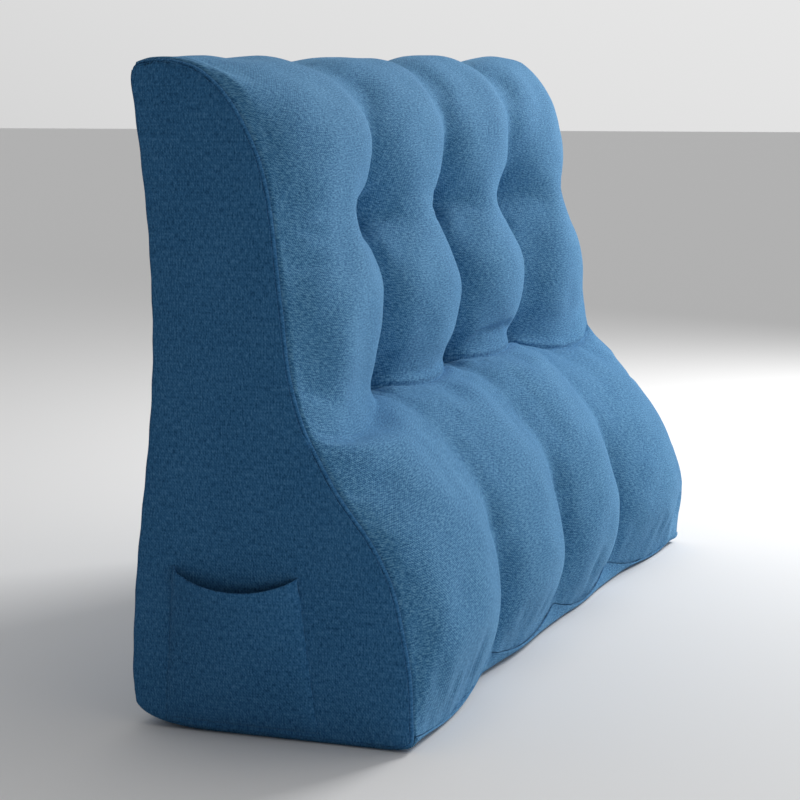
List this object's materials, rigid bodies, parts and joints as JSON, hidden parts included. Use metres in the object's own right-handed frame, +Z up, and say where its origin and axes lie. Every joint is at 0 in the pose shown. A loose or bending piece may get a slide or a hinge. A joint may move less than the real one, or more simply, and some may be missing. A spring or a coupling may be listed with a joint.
{
  "type": "wedge headboard pillow",
  "caption": "Upright wedge cushion for a bed head, with a channelled, tufted front that swells into a deep foot, flat welted side panels and a side pocket.",
  "frame": {"origin": "middle of the base on the floor, at the centre of the outline seen from above", "axes": "+X along the width, the pocket is on the -X side; -Y is the quilted front and +Y the flat back; +Z up"},
  "size_m": [0.813, 0.2472, 0.5047],
  "materials": {
    "front_cloth": "heathered blue chenille weave, matt with a soft sheen",
    "side_cloth": "the same blue chenille weave, seen in shade"
  },
  "bodies": {
    "root": {"cushion": "front_cloth", "side_panel_left": "side_cloth", "side_panel_right": "side_cloth", "welt_left": "side_cloth", "welt_right": "side_cloth", "pocket_left": "side_cloth", "base_panel": "front_cloth", "back_panel": "side_cloth"}
  },
  "joints": []
}
